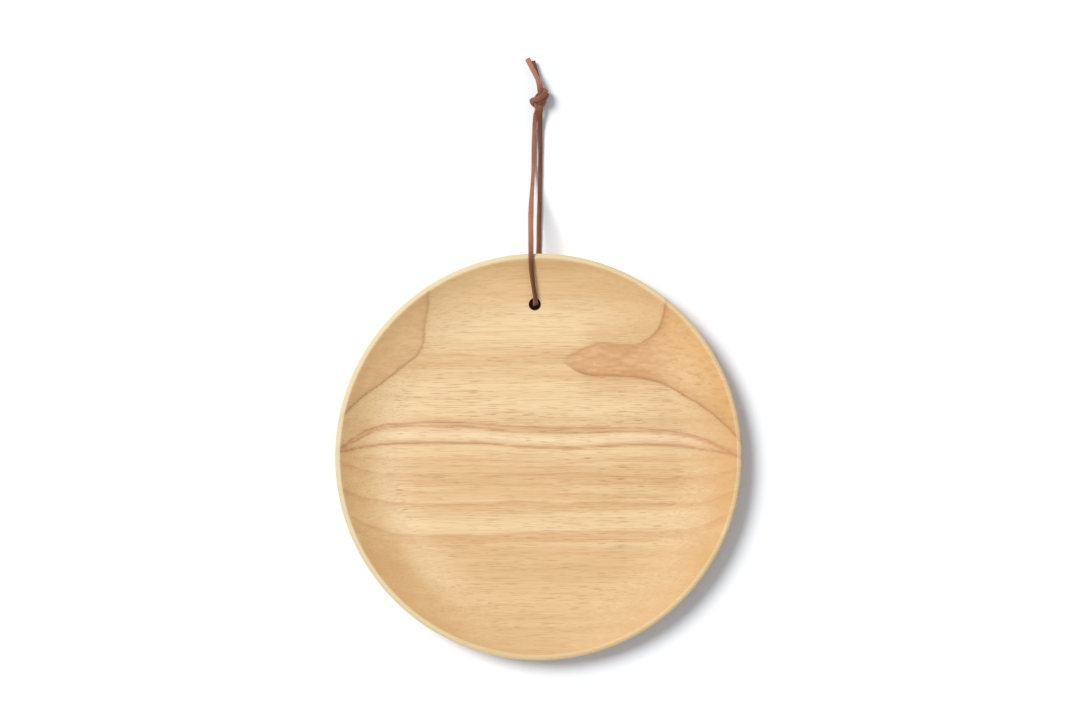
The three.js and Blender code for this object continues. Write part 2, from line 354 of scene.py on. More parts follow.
class Finish:
    """A material whose nodes are added by formulas."""

    def __init__(self, name):
        self.material = bpy.data.materials.new(name)
        self.material.use_nodes = True
        self.tree = self.material.node_tree
        self.shader = self.tree.nodes["Principled BSDF"]

    def node(self, kind, settings=None, inputs=None, out=0):
        made = self.tree.nodes.new(kind)
        for key, value in (settings or {}).items():
            if key == "points":
                set_points(made.mapping.curves[0], value)
                made.mapping.update()
            else:
                setattr(made, key, value)
        for key, value in (inputs or {}).items():
            socket = made.inputs[key] if isinstance(key, int) else self.socket_named(made, key)
            self.wire(value, socket)
        outputs = [s for s in made.outputs if s.enabled]
        return Field(self, made.outputs[out] if isinstance(out, str) else outputs[out])

    @staticmethod
    def socket_named(made, name):
        return next(s for s in made.inputs if s.enabled and s.name == name)

    def wire(self, value, socket):
        if isinstance(value, Field):
            self.tree.links.new(value.socket, socket)
        else:
            socket.default_value = value

    def mix(self, first, second, factor):
        inputs = {"Factor": factor, "A": first, "B": second}
        return self.node("ShaderNodeMix", {"data_type": "RGBA"}, inputs)

    def noise(self, place, scale, detail=2.0, roughness=0.5):
        inputs = {"Vector": place, "Scale": scale, "Detail": detail, "Roughness": roughness}
        return self.node("ShaderNodeTexNoise", None, inputs)

    def stretched(self, x, y, z, size):
        """A place whose unit is size: (length, width, depth)."""
        inputs = {"X": x / size[0], "Y": y / size[1], "Z": z / size[2]}
        return self.node("ShaderNodeCombineXYZ", None, inputs)

    def set(self, **values):
        for label, value in values.items():
            self.wire(value, self.shader.inputs[label.replace("_", " ")])


def set_points(curve, points):
    while len(curve.points) < len(points):
        curve.points.new(0.5, 0.5)
    for point, place in zip(curve.points, points):
        point.location = place
        point.handle_type = "AUTO"


def srgb(red, green, blue):
    """A colour as an 8-bit picture gives it, as the linear colour that a shader takes."""
    linear = [((c / 255 + 0.055) / 1.055) ** 2.4 for c in (red, green, blue)]
    return (*linear, 1.0)


print("helpers ready")


# %% [markdown]
# Leather lace is cut from a tanned hide: the grain side is smooth with fine pores, and the tone drifts
# along the strip. Over that, the lace is painted darker where it lies in shade, on the board, under it
# and in the other strand's shadow, and paler where it is lit: painted light and shade that each point of
# the lace stores as a number. Two scales of noise give the drift and the mottling, and a fine cell
# pattern gives the pores as a shallow bump.

# %% Leather
# The two ends of the lace's painted light and shade: leather as in shade, and leather as lit.
SHADED_LEATHER = srgb(98, 56, 33)
LIT_LEATHER = srgb(182, 122, 96)
MOTTLE_BROWN = srgb(112, 66, 44)
FIBRE_BROWN = srgb(196, 140, 112)


def leather_finish():
    finish = Finish("lace_leather")
    place = finish.node("ShaderNodeTexCoord", None, None, "Object")
    drift = finish.noise(place, 90.0, 2.0)
    mottle = finish.noise(place, 900.0, 3.0, 0.6)
    fibres = finish.noise(place, 3200.0, 2.0, 0.6)
    # painted light and shade stored on each point: low where the strand lies in shade, high where it is lit
    rubbed = finish.node("ShaderNodeAttribute", {"attribute_name": "rubbed"}, None, "Fac")
    tone = rubbed + (drift - 0.5) * 0.5
    colour = finish.mix(SHADED_LEATHER, LIT_LEATHER, tone.ramp(-0.1, 1.1))
    colour = finish.mix(colour, MOTTLE_BROWN, mottle.ramp(0.52, 0.72) * 0.45)
    colour = finish.mix(colour, FIBRE_BROWN, fibres.ramp(0.58, 0.75) * 0.25)
    pores = finish.node("ShaderNodeTexVoronoi", None, {"Vector": place, "Scale": 2600.0})
    height = pores * 0.6 + fibres * 0.5
    bump = finish.node("ShaderNodeBump", None, {"Strength": 0.35, "Distance": 0.0001, "Height": height})
    finish.set(Base_Color=colour, Roughness=mottle.ramp(0.3, 0.7, 0.62, 0.78), Normal=bump)
    finish.set(Specular_IOR_Level=0.35)
    return finish.material


leather = leather_finish()
print("leather nodes:", len(leather.node_tree.nodes))

# %% [markdown]
# Both halves of the lace come from that one tree. Every point of the line gets the way that its face
# looks, how wide the strip is there and how pale the leather is painted, as painted light and shade.
# Each half comes back with the line that it follows and is hung on the lace's body.

# %% Sweep both halves of the lace
LACE_WIDTH = 2.8 * MM
LACE_THICKNESS = 1.3 * MM
LACE_CORNER = 0.35 * MM
POINTS_PER_ROW = 6
PAINTED_LIGHT_ALONG_Y = {  # painted light and shade along Y: darker where the lace lies in shade, paler where it is lit
    "lace_front": (
        [83, 87, 104, 116, 140, 160, 186, 190, 200, 204],
        [0.6, 0.2, 0.2, 0.75, 0.7, 0.68, 0.6, 0.45, 0.45, 0.75],
    ),
    "lace_back": (
        [84, 104, 140, 156, 186, 190, 202, 204],
        [0.1, 0.3, 0.4, 0.12, 0.12, 0.45, 0.4, 0.15],
    ),
}
GIRTH = {  # share of the full width, by the place along Y: both strands are narrower below the knot
    "lace_front": ([132, 152, 176, 186, 192], [1.0, 0.72, 0.72, 0.92, 0.95]),
    "lace_back": ([128, 148, 174, 182, 192], [1.0, 0.84, 0.84, 1.0, 0.95]),
}
GIRTH_WAVES = ((0.03, 7.0, 0.0), (0.02, 2.9, 1.0))  # share of the width, millimetres per radian, start
LACE_CREASE = math.radians(50)
sweep, sweep_sockets = lace_tree()
lace_values = {
    sweep_sockets["Width"]: LACE_WIDTH,
    sweep_sockets["Thickness"]: LACE_THICKNESS,
    sweep_sockets["Corner"]: LACE_CORNER,
    sweep_sockets["Leather"]: leather,
}


def make_lace(name, rows):
    """One half of the lace as a mesh, and the line that it follows, in metres."""
    line, places = smooth_line([point for point, _ in rows], POINTS_PER_ROW)
    faces = np.array([Vector(face).normalized() for _, face in rows])
    whole = np.minimum(places.astype(int), len(rows) - 2)
    part = (places - whole)[:, None]
    face = faces[whole] * (1 - part) + faces[whole + 1] * part
    along = lengths_along(line)
    tangents = np.gradient(line, axis=0)
    tangents /= np.linalg.norm(tangents, axis=1)[:, None]
    face -= tangents * np.sum(face * tangents, axis=1)[:, None]
    face /= np.linalg.norm(face, axis=1)[:, None]
    source = row_of_vertices(name, line * MM)
    source.attributes.new("face", "FLOAT_VECTOR", "POINT").data.foreach_set("vector", face.ravel())
    girth = np.interp(line[:, 1], *GIRTH[name])
    for share, length, start in GIRTH_WAVES:
        girth += share * np.sin(along / length + start)
    source.attributes.new("girth", "FLOAT", "POINT").data.foreach_set("value", girth)
    # painted light and shade along the lace
    rubbed = np.interp(line[:, 1], *PAINTED_LIGHT_ALONG_Y[name])
    source.attributes.new("rubbed", "FLOAT", "POINT").data.foreach_set("value", rubbed)
    piece = plain_mesh(name, source, sweep, lace_values)
    piece.data.shade_smooth()
    piece.data.set_sharp_from_angle(angle=LACE_CREASE)
    return piece, [Vector(p) * MM for p in line]


laces = {name: make_lace(name, rows) for name, rows in lace_rows.items()}
for name, (piece, path) in laces.items():
    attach(piece, "lace")
    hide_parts("leather_lace")

# %% [markdown]
# The board is turned on a lathe, so its shape is one half outline swung round an axis. The outline uses
# the board's box for its overall size; the rest are the turner's own sizes, in millimetres. Where the
# solid has plain corners, the real rim has a small round that catches the light, so the outline gets one
# here.

# %% Half outline of the board
board_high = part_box("board")[1]
BOARD_RADIUS = board_high.x / MM
BOARD_HEIGHT = board_high.z / MM
FLOOR_THICKNESS = 8.0
FLOOR_RADIUS = 74.0
FOOT_RADIUS = 64.0
RIM_LAND = 2.6
RIM_EDGE = 2.6
RIM_FALL = 1.9  # how far the rounded rim falls before it meets the side
RIM_EASE = 0.15  # from the end of the hollow's wall to the start of the rim
WALL_TRIM = 0.002  # radians that the wall's arc stops short of the rim, for the same ease
FOOT_STEPS, UNDER_STEPS, RIM_STEPS, WALL_STEPS, FLOOR_STEPS = 12, 24, 14, 30, 16
HOLE_PLACE = 82.7  # from the middle of the board towards +Y


def arc(middle, radius, start, end, steps):
    angles = np.linspace(start, end, steps)
    return [(middle[0] + radius * math.cos(a), middle[1] + radius * math.sin(a)) for a in angles]


def rising_arc(start, end):
    """Radius and sweep of an arc that leaves the level line at start and rises to end."""
    out, up = end[0] - start[0], end[1] - start[1]
    radius = (out * out + up * up) / (2 * up)
    return radius, math.asin(out / radius)


def straight(first, last, steps):
    return [tuple(p) for p in np.linspace(first, last, steps)]


def rounded(first, corner, last, steps):
    """A soft corner: a curve from first to last that leaves and arrives along the lines to the corner."""
    first, corner, last = (np.array(p) for p in (first, corner, last))
    shares = np.linspace(0, 1, steps)
    return [tuple(first * (1 - t) ** 2 + corner * 2 * t * (1 - t) + last * t * t) for t in shares]


def board_outline():
    down = -math.pi / 2
    land_inner = BOARD_RADIUS - RIM_LAND
    under_radius, under_sweep = rising_arc((FOOT_RADIUS, 0), (BOARD_RADIUS, BOARD_HEIGHT - RIM_EDGE))
    hollow_radius, hollow_sweep = rising_arc((FLOOR_RADIUS, FLOOR_THICKNESS), (land_inner, BOARD_HEIGHT))
    foot = straight((0, 0), (FOOT_RADIUS, 0), FOOT_STEPS)
    under = arc((FOOT_RADIUS, under_radius), under_radius, down, down + under_sweep, UNDER_STEPS)
    rim = rounded((BOARD_RADIUS, BOARD_HEIGHT - RIM_FALL), (BOARD_RADIUS, BOARD_HEIGHT),
                  (land_inner + RIM_EASE, BOARD_HEIGHT), RIM_STEPS)
    wall_middle = (FLOOR_RADIUS, FLOOR_THICKNESS + hollow_radius)
    wall = arc(wall_middle, hollow_radius, down + hollow_sweep - WALL_TRIM, down, WALL_STEPS)
    floor = straight((FLOOR_RADIUS, FLOOR_THICKNESS), (0, FLOOR_THICKNESS), FLOOR_STEPS)
    return foot + under[1:] + rim + wall + floor[1:]


outline = board_outline()
print("outline points:", len(outline))

# %% [markdown]
# The lathe itself is a Geometry Nodes tree. It lays out a grid, one column for each step round and one
# row for each outline point, and moves every grid point to its place: the row picks the outline point,
# the column gives the angle. Merging by distance closes the seam and the two poles.


# %% The lathe
SEAM_GAP = 1e-6  # points closer than this, in metres, are one


def lathe_tree():
    tree, start, end, sockets = geometry_tree("turn_on_lathe", {
        "Steps": "NodeSocketInt",
        "Material": "NodeSocketMaterial",
    })

    def maths(operation, first, second):
        node = add_node(tree, "ShaderNodeMath", {"operation": operation})
        for socket, value in zip(node.inputs, (first, second)):
            if isinstance(value, bpy.types.NodeSocket):
                tree.links.new(value, socket)
            else:
                socket.default_value = value
        return node.outputs[0]

    size = add_node(tree, "GeometryNodeAttributeDomainSize", {"component": "MESH"},
                    Geometry=start.outputs["Geometry"])
    columns = maths("ADD", start.outputs["Steps"], 1)
    grid = add_node(tree, "GeometryNodeMeshGrid", Size_X=1.0, Size_Y=1.0, Vertices_X=columns,
                    Vertices_Y=size.outputs["Point Count"])
    place = add_node(tree, "GeometryNodeInputPosition")
    split = add_node(tree, "ShaderNodeSeparateXYZ", Vector=place.outputs[0])
    angle = maths("MULTIPLY", split.outputs["X"], 2 * math.pi)
    last_row = maths("SUBTRACT", size.outputs["Point Count"], 1)
    row = maths("ROUND", maths("MULTIPLY", maths("ADD", split.outputs["Y"], 0.5), last_row), 0)
    sample = add_node(tree, "GeometryNodeSampleIndex", {"data_type": "FLOAT_VECTOR", "domain": "POINT"},
                      Geometry=start.outputs["Geometry"], Value=place.outputs[0], Index=row)
    point = add_node(tree, "ShaderNodeSeparateXYZ", Vector=sample.outputs[0])
    radius, height = point.outputs["X"], point.outputs["Z"]
    moved = add_node(tree, "ShaderNodeCombineXYZ",
                     X=maths("MULTIPLY", radius, maths("COSINE", angle, 0)),
                     Y=maths("MULTIPLY", radius, maths("SINE", angle, 0)), Z=height)
    turned = add_node(tree, "GeometryNodeSetPosition", Geometry=grid.outputs["Mesh"],
                      Position=moved.outputs[0])
    closed = add_node(tree, "GeometryNodeMergeByDistance", Geometry=turned.outputs[0], Distance=SEAM_GAP)
    real = add_node(tree, "GeometryNodeRealizeInstances", Geometry=closed.outputs[0])
    dressed = add_node(tree, "GeometryNodeSetMaterial", Geometry=real.outputs[0],
                       Material=start.outputs["Material"])
    tree.links.new(dressed.outputs[0], end.inputs[0])
    return tree, sockets


lathe, lathe_sockets = lathe_tree()
print("lathe nodes:", len(lathe.nodes))


def turn(name, points, steps, material):
    """A turned piece from (radius, height) points in millimetres."""
    source = row_of_vertices(name, [(r * MM, 0, z * MM) for r, z in points])
    return plain_mesh(name, source, lathe, {
        lathe_sockets["Steps"]: steps,
        lathe_sockets["Material"]: material,
    })


# %% [markdown]
# The wood is a pale, open-pored hardwood, sawn so that the growth rings run across the board as a few
# brown lines and, near the top, as a tongue and a corner of smoother wood. Those lines are curves over
# the board, given as points; what fills the space between them is noise drawn out along the grain: long
# soft bands, fine fibres, and the short dark dashes of the pores. It is all worked out from the place
# inside the wood, so the pattern runs over the rim and underneath as it would in a real blank.

# %% Growth lines, in millimetres from the middle of the board
UPPER_LINE = [
    (-107, 5), (-95, 13.1), (-85, 16.9), (-75, 17.7), (-55, 18.4), (-32, 17.7), (-11, 16.5),
    (10, 15.5), (32, 15.8), (54, 15), (76, 12.9), (90, 9.4), (103, 3),
]
UPPER_LINE_FOOT = [
    (-107, 4), (-95, 11), (-85, 15.2), (-75, 16.1), (-55, 16.5), (-32, 15.6), (-11, 13.6),
    (10, 12.9), (32, 13.4), (54, 13.2), (76, 11.4), (90, 8.2), (103, 2.4),
]
MIDDLE_LINE = [
    (-107, 2.6), (-95, 4.9), (-85, 6.6), (-75, 7.0), (-55, 7.4), (-32, 7.0), (-11, 5.4), (10, 4.4),
    (32, 5.0), (54, 6.1), (76, 5.6), (90, 3.8), (103, 1.5),
]
HAIR_LINE = [
    (-105, 0.5), (-75, -2.1), (-55, -2.3), (-32, -2.2), (-11, -2.4), (10, -4), (32, -2.4), (54, -1),
    (76, -2.1), (103, -0.5),
]
FAINT_LINE = [
    (-105, -3), (-95, -7), (-85, -9.2), (-75, -9.7), (-55, -9.7), (-32, -10.8), (-11, -9.7),
    (10, -9.7), (32, -9.7), (54, -11.3), (76, -11.9), (90, -10.8), (102, -8),
]
LOWER_LINE = [
    (-105, -18), (-95, -22), (-85, -24.4), (-75, -25.4), (-55, -25.9), (-32, -25.5), (-11, -24.6),
    (10, -25.2), (32, -24.6), (54, -25.5), (76, -25.8), (90, -24.4), (102, -20),
]
LOWEST_LINE = [
    (-103, -30), (-95, -35.8), (-85, -39.6), (-75, -42.3), (-55, -43.4), (-32, -43.2), (-11, -41.7),
    (10, -41.2), (32, -41.2), (54, -41.2), (76, -40.1), (90, -37), (100, -32),
]
LOWEST_LINE_FOOT = [
    (-103, -36), (-95, -42), (-85, -45.5), (-75, -47), (-55, -48.6), (-32, -47.6), (-11, -46),
    (10, -46.1), (32, -45), (54, -45), (76, -43.5), (90, -40), (100, -35),
]
TONGUE_TOP = [
    (12, 53.4), (14, 54), (18, 55.7), (25, 58.7), (34, 61.3), (41, 60.6), (48, 60.2), (53, 60.8),
    (57.4, 63.1), (63.3, 67.6), (66.3, 72.9), (68.1, 81.8), (70, 100),
]
TONGUE_FOOT = [
    (12, 52.8), (14, 51), (18, 48), (26, 44.8), (41, 43.9), (52, 43), (61, 41.5), (66, 40),
    (78, 33.8), (88.7, 27.2), (98, 20), (106, 11.7),
]
TONGUE_SIDE = [  # height first, then place
    (58, 46), (60.5, 53), (63.1, 57.4), (67.6, 63.3), (72.9, 66.3), (81.8, 68.1), (100, 70),
]
CORNER_SIDE = [  # height first, then place
    (18, -109), (23.6, -104.5), (33.7, -93.4), (41.9, -82.2), (49.8, -73.2), (55.7, -65.8),
    (61.7, -62.8), (70.6, -62), (80.3, -60.2), (90.7, -59.4), (105, -58),
]
TONE_OVER_BOARD = [  # height first, then the share of tan in per cent
    (-108, 70), (-92, 62), (-78, 60), (-68, 58), (-57, 68), (-47, 60), (-39, 22), (-31, 25),
    (-25, 55), (-15, 55), (-6, 52), (2, 35), (10, 8), (15, 40), (25, 15), (36, 8), (45, 45),
    (53, 60), (61, 42), (68, 12), (78, 6), (86, 26), (97, 35), (108, 40),
]
GRAIN_SPAN = 110.0  # the curves run over twice this length
print("tone stops:", len(TONE_OVER_BOARD))


# %% Tools for the wood
def height_on(finish, points, x):
    """The height of a listed line over the place x, both in millimetres."""
    span = 2 * GRAIN_SPAN
    unit = [((px + GRAIN_SPAN) / span, (py + GRAIN_SPAN) / span) for px, py in points]
    curve = finish.node("ShaderNodeFloatCurve", {"points": unit}, {"Value": x / span + 0.5})
    return curve * span - GRAIN_SPAN


def ring(distance, above, below):
    """A growth line: strongest where distance is 0, fading over above on one side and below on the other."""
    return (distance.at_least(0) / -above + distance.at_most(0) / below).exp()


class WoodPlace:
    """The place inside the wood, in millimetres along the grain, and the way that its surface faces."""

    def __init__(self, finish):
        self.finish = finish
        place = finish.node("ShaderNodeTexCoord", None, None, "Object")
        turned = finish.node("ShaderNodeMapping", None, {
            "Vector": place,
            "Rotation": (0, 0, PICTURE_TURN),
            "Scale": (1 / MM, 1 / MM, 1 / MM),
        })
        self.x, self.straight, self.z = self.parts(turned)
        self.radius = (self.x * self.x + self.straight * self.straight) ** 0.5
        sway = self.noise(40, 9, 2)
        jag = self.noise(9, 0.9, 2)
        lean = (self.z - FLOOR_THICKNESS).at_most(0) * 0.5
        self.y = self.straight + (sway - 0.5) * 1.6 + (jag - 0.5) * 1.2 + lean
        facing = finish.node("ShaderNodeTexCoord", None, None, "Normal")
        self.across, self.upward, self.level = self.parts(facing)

    def parts(self, vector):
        return (self.finish.node("ShaderNodeSeparateXYZ", None, {"Vector": vector}, axis) for axis in "XYZ")

    def noise(self, length, width, detail, roughness=0.5):
        """Noise drawn out along the grain, its unit that long and that wide in millimetres."""
        place = self.finish.stretched(self.x, self.straight, self.z, (length, width, width))
        return self.finish.noise(place, 1.0, detail, roughness)

    def above(self, points, shift=0.0):
        """Distance above a listed line."""
        return self.y - height_on(self.finish, points, self.x + shift)


# %% [markdown]
# The tongue and the corner are where the cut runs along a growth ring and shows its smooth face. A mask
# for each is the product of soft steps, one for every listed edge. Noise pushes the edges to and fro,
# because the pores fray them, and a thin brown line follows each edge.

# %% Two figures of smoother wood
EDGE_WAVER = 4.0  # millimetres
EDGE_FRAY = 3.0
SOFT_LINE = 0.5  # share of the wide soft shade beside the tongue's foot
SOFT_CORNER = 0.35  # share of the one beside the corner


def smoother_wood(wood_at):
    """Where the tongue and the corner lie, and the dark lines along their edges."""
    finish, x, y = wood_at.finish, wood_at.x, wood_at.y
    ragged = (wood_at.noise(6, 0.5, 2) - 0.5) * EDGE_WAVER
    frayed = (wood_at.noise(11, 0.9, 2) - 0.5) * EDGE_FRAY
    over_top = wood_at.above(TONGUE_TOP, ragged)
    over_foot = wood_at.above(TONGUE_FOOT, ragged * 0.3)
    past_side = x + ragged * 0.4 - height_on(finish, TONGUE_SIDE, y)
    in_corner = height_on(finish, CORNER_SIDE, y) - x + ragged * 0.8
    past_tip = (x + ragged).ramp(11.5, 21)
    tongue = (over_top + frayed).ramp(1.0, -1.3) * over_foot.ramp(-0.5, 0.7) * past_tip
    corner = in_corner.ramp(-0.8, 0.8)
    top_line = ring(over_top, 0.6, 1.6) * x.ramp(12, 18, 0, 0.6) * x.ramp(56, 50)
    side_line = ring(past_side, 1.2, 0.5) * y.ramp(60, 63) * 0.9
    foot_line = ring(over_foot, 1.5, 0.6) * x.ramp(11, 24)
    foot_shade = ring(over_foot, 4.5, 1.6) * x.ramp(58, 80) * SOFT_LINE
    corner_line = ring(in_corner, 1.5, 0.7).at_least(ring(in_corner, 6.0, 0.5) * SOFT_CORNER)
    corner_line = corner_line * y.ramp(45, 75, 1.0, 0.65)
    lines = top_line.at_least(side_line).at_least(foot_line).at_least(foot_shade).at_least(corner_line)
    return tongue, corner, lines


print("tongue and corner: drawn from", len(TONGUE_TOP) + len(TONGUE_FOOT) + len(CORNER_SIDE), "points")


# %% [markdown]
# Under the lines lies the ground tone. Across the grain the wood goes from pale to tan and back, slowly,
# and long bands of noise ride on that. The smooth figures have a tone of their own with dapples and
# clouds; the fibres show everywhere, a little less in the smooth wood.

# %% Ground tone
PALE_WOOD = srgb(237, 208, 162)
TAN_WOOD = srgb(217, 177, 127)
TONGUE_INNER = srgb(215, 169, 121)
TONGUE_OUTER = srgb(241, 207, 155)
TONGUE_LIGHT = srgb(236, 194, 148)
TONGUE_DARK = srgb(196, 146, 98)
CORNER_WOOD = srgb(240, 206, 160)


def ground_tone(wood_at, tongue, corner, fibres):
    finish, x, y = wood_at.finish, wood_at.x, wood_at.y
    smooth_share = tongue.at_least(corner)
    bands = wood_at.noise(150, 4.5, 3, 0.55)
    tan_share = height_on(finish, TONE_OVER_BOARD, y) / 100 + (bands - 0.5) * y.ramp(-65, -30, 1.0, 1.5)
    colour = finish.mix(PALE_WOOD, TAN_WOOD, tan_share.ramp(-0.1, 1.1))
    round_tongue = x.ramp(18, 34) * x.ramp(76, 60) * y.ramp(26, 40) * y.ramp(80, 67)
    tongue_tone = finish.mix(TONGUE_INNER, TONGUE_OUTER, x.ramp(52, 86))
    clouds = wood_at.noise(22, 2.2, 3, 0.6).ramp(0.25, 0.8)
    figure = wood_at.noise(26, 0.9, 2).ramp(0.5, 0.66)
    dapple = wood_at.noise(7, 2.4, 2, 0.6)
    layers = (
        (srgb(206, 160, 112), round_tongue * 0.38),
        (tongue_tone, tongue * x.ramp(14, 34, 0.7, 0.9)),
        (CORNER_WOOD, corner * 0.8),
        (srgb(204, 157, 106), fibres.ramp(0.46, 0.72) * (0.42 - smooth_share * 0.12)),
        (srgb(206, 158, 110), clouds * smooth_share * 0.55),
        (srgb(202, 152, 104), figure * tongue * x.ramp(50, 85, 0.45, 0.2)),
        (TONGUE_LIGHT, dapple.ramp(0.5, 0.68) * tongue * 0.45),
        (TONGUE_DARK, dapple.ramp(0.48, 0.32) * tongue * 0.45),
    )
    for tone, share in layers:
        colour = finish.mix(colour, tone, share)
    return colour


# %% [markdown]
# Where the hollow's wall cuts through the fibres at a slant, wood soaks up more oil and looks darker and
# warmer. How much depends on the way that the wall faces, so the tints below are masked by the surface's
# own normal: its parts across the picture, up the picture and out of it. Only part of the tinting is
# that end grain; the rest is painted light and shade, which makes walls and patches of floor paler or
# darker by the way that they face the light.

# %% Tints by side: end grain and painted light
def end_grain_and_painted_light(wood_at, colour):
    x, y, radius = wood_at.x, wood_at.y, wood_at.radius
    across, upward, level = wood_at.across, wood_at.upward, wood_at.level
    faces_upper_left = upward * 0.8 - across * 0.6
    top_right = upward.ramp(-0.04, -0.25) * x.ramp(-25, 20) * x.ramp(78, 55)
    right_floor = x.ramp(48, 76) * y.ramp(44, 28) * y.ramp(-30, 15)
    left_floor = radius.ramp(64, 82) * x.ramp(-30, -62) * level.ramp(0.94, 0.985) * y.ramp(45, 15)
    # partly the end grain's own tint, partly painted light and shade by the way each surface faces the light
    layers = (
        (srgb(255, 196, 122), upward.ramp(-0.08, -0.4) * 0.18),
        (srgb(186, 138, 90), top_right * 0.18),
        (srgb(182, 152, 110), faces_upper_left.ramp(0.02, 0.35) * y.ramp(5, -35) * 0.2),
        (srgb(196, 150, 100), right_floor * 0.26),
        (srgb(250, 226, 186), left_floor * 0.3),
        (srgb(208, 166, 108), level.ramp(0.995, 0.85) * 0.12),
        (srgb(226, 176, 108), across.ramp(0.08, 0.55) * 0.3),
        (srgb(202, 154, 94), across.ramp(-0.08, -0.55) * 0.5),
        (srgb(196, 148, 88), across.ramp(0.05, 0.3) * y.ramp(-15, -60) * 0.25),
    )
    for tint, share in layers:
        colour = wood_at.finish.mix(colour, tint, share)
    return colour


# %% [markdown]
# Each growth line is dark on one edge and fades off on the other, as a ring does from late to early wood.
# The table gives, for every line, how far it fades above and below, its share and its brown. Noise breaks
# the lines a little along their length, and they are stronger on the wall, where they are cut at a slant.

# %% Growth lines
GROWTH_RINGS = (  # the line, how far it fades above and below, its share, its brown
    (UPPER_LINE, 0.6, 0.55, 0.85, srgb(187, 134, 94)),
    (UPPER_LINE_FOOT, 1.1, 0.6, 0.85, srgb(190, 136, 97)),
    (MIDDLE_LINE, 1.2, 0.7, 0.95, srgb(188, 136, 94)),
    (UPPER_LINE, 3.2, 0.6, 0.24, srgb(200, 148, 100)),
    (MIDDLE_LINE, 3.0, 0.5, 0.24, srgb(202, 150, 104)),
    (HAIR_LINE, 0.7, 0.7, 0.35, srgb(204, 152, 104)),
    (FAINT_LINE, 0.6, 3.2, 0.55, srgb(202, 150, 102)),
    (LOWER_LINE, 0.5, 2.4, 0.6, srgb(200, 148, 100)),
    (LOWEST_LINE, 0.5, 2.4, 0.42, srgb(194, 142, 94)),
    (LOWEST_LINE_FOOT, 4.0, 0.5, 0.3, srgb(200, 148, 98)),
)
PALE_BAND = srgb(245, 220, 182)
PALE_BAND_RISE = 4.2  # above the middle line


def growth_lines(wood_at, colour):
    finish = wood_at.finish
    broken = wood_at.noise(14, 1.5, 2).ramp(0.3, 0.62, 0.45, 1.0)
    on_wall = wood_at.level.ramp(0.99, 0.86, 1.0, 1.3)
    pale = abs(wood_at.x).ramp(98, 70) * ring(wood_at.above(MIDDLE_LINE) - PALE_BAND_RISE, 2.6, 2.4)
    colour = finish.mix(colour, PALE_BAND, pale * 0.85)
    for points, over, under, share, brown in GROWTH_RINGS:
        line = ring(wood_at.above(points), over, under) * broken * on_wall
        colour = finish.mix(colour, brown, line * share)
    return colour


print("growth rings:", len(GROWTH_RINGS))


# %% [markdown]
# The pores of this wood are long tubes that lie along the grain, so a flat cut opens them as short dark
# dashes and a few longer streaks. Noise with a high threshold gives just that. They are fewer in the
# smooth wood, and on the side walls, where a tube is cut across and leaves only a dot.

# %% Pores
def pore_marks(wood_at, smooth_share):
    """The short dashes and the longer streaks of open pores."""
    y = wood_at.y
    seen = abs(wood_at.across).ramp(0.03, 0.2, 1.0, 0.4) * y.ramp(80, 94, 1.0, 0.55)
    open_wood = (1 - smooth_share * 0.85) * seen
    crowd = wood_at.noise(60, 12, 2).ramp(0.3, 0.7, 0.45, 1.0)
    crowded = crowd * y.ramp(-70, 20, 0.75, 1.0) * y.ramp(45, 72, 1.0, 0.62) * open_wood
    dashes = wood_at.noise(10, 0.42, 1).ramp(0.595, 0.68) * crowded
    streaks = wood_at.noise(30, 0.5, 1).ramp(0.60, 0.70) * crowded
    return dashes, streaks


# %% [markdown]
# The rim's top is tinted pale cream, more strongly on the side that the light comes from, which is partly
# painted light. The lower outer edge, which faces away from the sun, is painted paler as painted light,
# and the inside of the hole is painted dark as painted shade. With those, the wood is complete: colour,
# a soft oiled gloss that varies with the fibres, and a very shallow bump from pores and fibres.

# %% The finished wood
# pale cream for the rim's top, partly painted light
RIM_CREAM = srgb(221, 208, 169)
# painted light for the lower outer edge
PAINTED_EDGE_LIGHT = srgb(248, 226, 186)
# painted shade for the inside of the hole
HOLE_SHADE = srgb(104, 54, 26)
EDGE_BROWN = srgb(168, 114, 70)
PORE_BROWN = srgb(172, 120, 74)
RIM_TINT_RADIUS = (107.1, 107.5)
PAINTED_EDGE_RADIUS = (109.0, 109.7)
HOLE_SHADE_RADIUS = (3.6, 3.1)


def rim_and_hole(wood_at, colour):
    finish, x, y, z = wood_at.finish, wood_at.x, wood_at.y, wood_at.z
    on_top = z.ramp(BOARD_HEIGHT - 1.6, BOARD_HEIGHT - 0.6)
    # pale cream on the rim's top, stronger on the side the light comes from: partly painted light
    rim = (wood_at.radius - y * 0.004).ramp(*RIM_TINT_RADIUS) * on_top
    colour = finish.mix(colour, RIM_CREAM, rim * (x - y * 0.5).ramp(-90, 90, 0.75, 0.38))
    # painted light on the lower outer edge, which faces away from the sun
    lit_edge = wood_at.radius.ramp(*PAINTED_EDGE_RADIUS) * y.ramp(-40, -95)
    colour = finish.mix(colour, PAINTED_EDGE_LIGHT, lit_edge * 0.35)
    # painted shade inside the hole
    hole_x = HOLE_PLACE * math.sin(-PICTURE_TURN)
    from_hole = ((x - hole_x) ** 2 + (wood_at.straight - HOLE_PLACE) ** 2) ** 0.5
    return finish.mix(colour, HOLE_SHADE, from_hole.ramp(*HOLE_SHADE_RADIUS))


